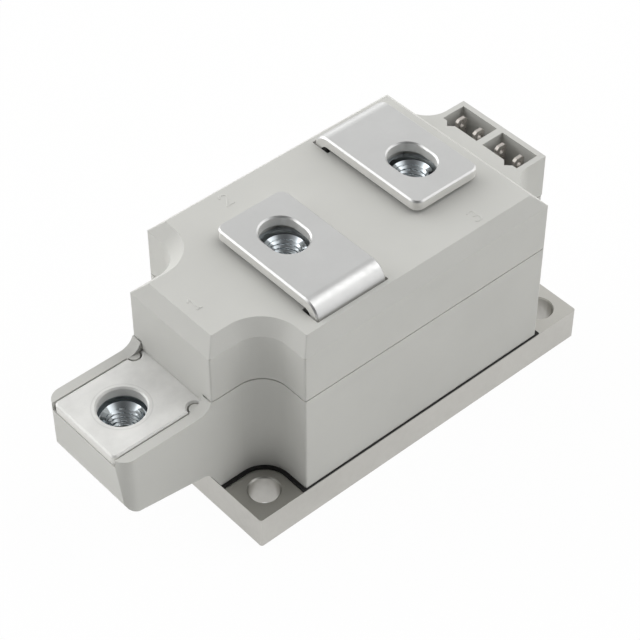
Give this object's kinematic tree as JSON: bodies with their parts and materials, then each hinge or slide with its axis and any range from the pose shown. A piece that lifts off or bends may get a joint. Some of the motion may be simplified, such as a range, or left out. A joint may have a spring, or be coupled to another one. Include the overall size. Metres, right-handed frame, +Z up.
{
  "type": "power semiconductor module",
  "caption": "Grey power semiconductor module on a nickel-plated base plate with drilled corners, flat screw terminals over captive nuts and a connector block with control tabs.",
  "frame": {"origin": "middle of the four mounting holes, on the underside of the base plate", "axes": "+X along the module from the nose terminal to the connector, +Z up out of the base plate, +Y to the side away from the camera in the picture"},
  "size_m": [0.1156, 0.05, 0.052],
  "materials": {
    "base_nickel": "satin nickel plate on copper",
    "gasket": "matt black sealing ring",
    "housing": "fine matt, warm light grey",
    "terminal_plate": "bright tin plate on copper",
    "zinc_steel": "bluish zinc plate",
    "tab_plate": "tin plate",
    "insulator_ceramic": "white, ground",
    "contact_metal": "lapped molybdenum",
    "silicon": "dark, polished",
    "inner_plastic": "matt cream",
    "spring_steel": "oiled spring steel"
  },
  "bodies": {
    "root": {"base_plate": "base_nickel", "base_gasket": "gasket", "case_frame": "housing", "case_lid": "housing", "terminal_bar_1": "terminal_plate", "terminal_bar_2": "terminal_plate", "terminal_bar_3": "terminal_plate", "terminal_nut_1": "zinc_steel", "terminal_nut_2": "zinc_steel", "terminal_nut_3": "zinc_steel", "control_tab_1": "tab_plate", "control_tab_2": "tab_plate", "control_tab_3": "tab_plate", "control_tab_4": "tab_plate", "ceramic_plate_1": "insulator_ceramic", "lower_contact_disc_1": "contact_metal", "upper_contact_disc_1": "contact_metal", "semiconductor_disc_1": "silicon", "pressure_cup_1": "inner_plastic", "thrust_washer_1": "spring_steel", "ceramic_plate_2": "insulator_ceramic", "lower_contact_disc_2": "contact_metal", "upper_contact_disc_2": "contact_metal", "semiconductor_disc_2": "silicon", "pressure_cup_2": "inner_plastic", "thrust_washer_2": "spring_steel", "disc_spring_1": "spring_steel", "disc_spring_2": "spring_steel", "disc_spring_3": "spring_steel", "disc_spring_4": "spring_steel", "pressure_bridge": "spring_steel", "bridge_screw_1": "zinc_steel", "bridge_screw_2": "zinc_steel", "bridge_screw_3": "zinc_steel", "bridge_screw_4": "zinc_steel", "bridge_screw_5": "zinc_steel", "bridge_screw_6": "zinc_steel"}
  },
  "joints": []
}
